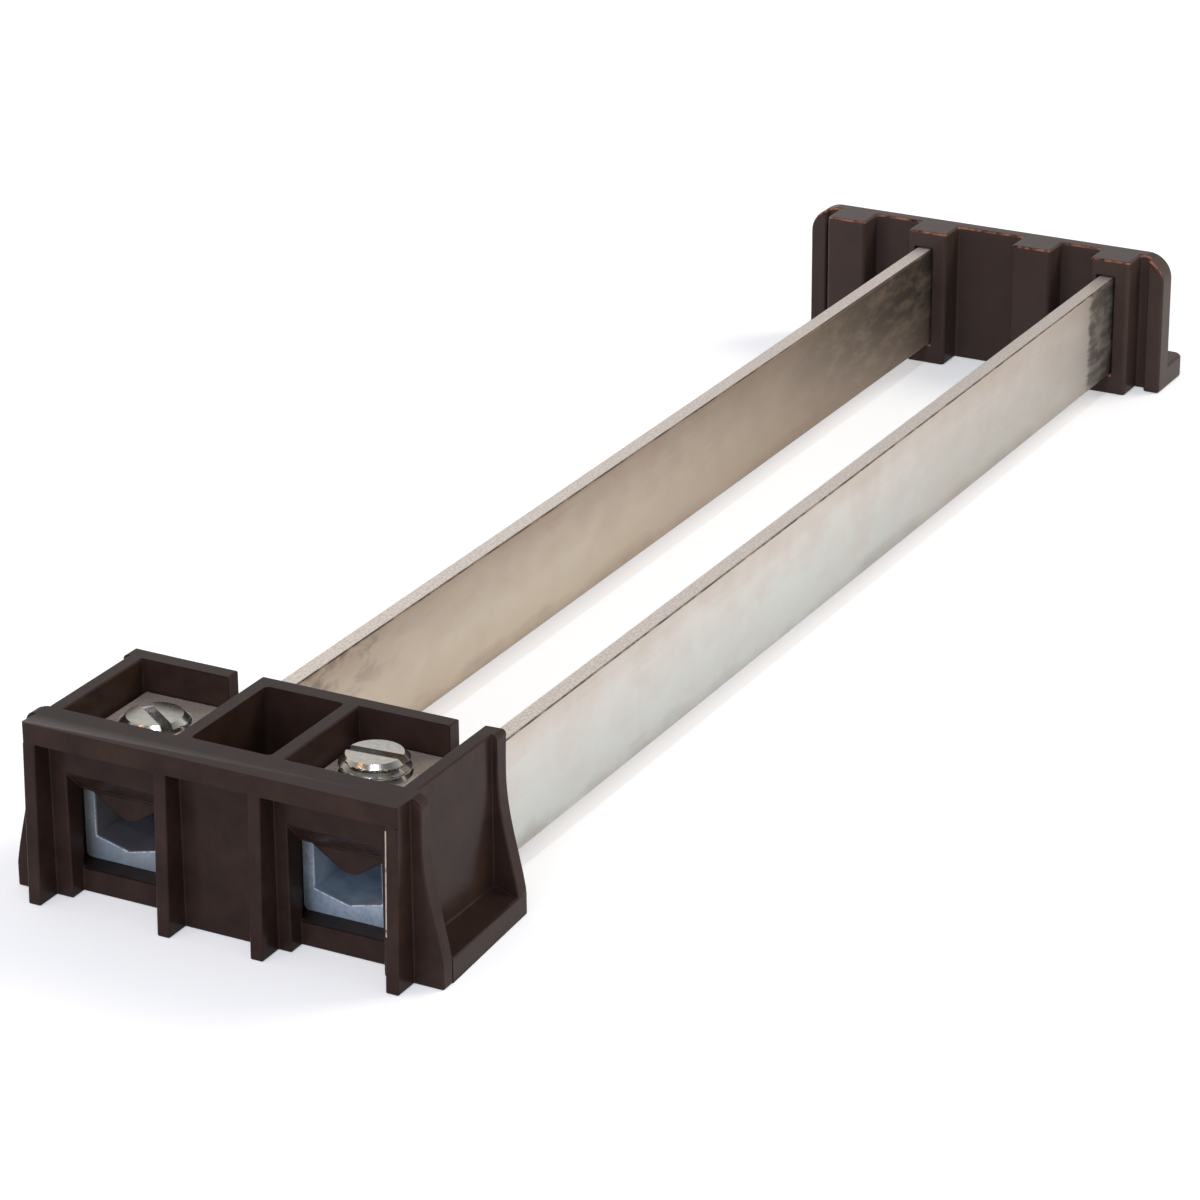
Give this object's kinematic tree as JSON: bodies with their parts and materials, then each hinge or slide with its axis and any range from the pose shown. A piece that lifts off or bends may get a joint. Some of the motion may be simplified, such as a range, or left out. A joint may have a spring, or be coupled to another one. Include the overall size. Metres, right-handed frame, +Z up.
{
  "type": "bus bar assembly",
  "caption": "Flat bus bars on edge between a moulded clamp-terminal housing with cable windows and slotted screws, and a ribbed moulded rear support.",
  "frame": {"origin": "on the floor, at the middle of the outline in X and Y", "axes": "+X to the right seen from the cable windows, +Y along the bars to the rear support, +Z up"},
  "size_m": [0.0688, 0.2712, 0.027],
  "materials": {
    "moulding": "satin dark brown moulding",
    "tinned_bar": "dull tin plating",
    "zinc_cage": "zinc plated",
    "plated_screw": "bright plated"
  },
  "bodies": {
    "frame": {"terminal_housing": "moulding", "rear_support": "moulding", "bus_bar_left": "tinned_bar", "bus_bar_right": "tinned_bar", "clamp_cage_left": "zinc_cage", "clamp_cage_right": "zinc_cage"},
    "left_screw": {"clamp_screw_left": "plated_screw"},
    "right_screw": {"clamp_screw_right": "plated_screw"}
  },
  "joints": [
    {"name": "left_screw_travel", "type": "slide", "parent": "frame", "child": "left_screw", "axis": [0, 0, 1], "range_m": [-0.0023, 0.0065]},
    {"name": "right_screw_travel", "type": "slide", "parent": "frame", "child": "right_screw", "axis": [0, 0, 1], "range_m": [-0.004, 0.0048]}
  ]
}
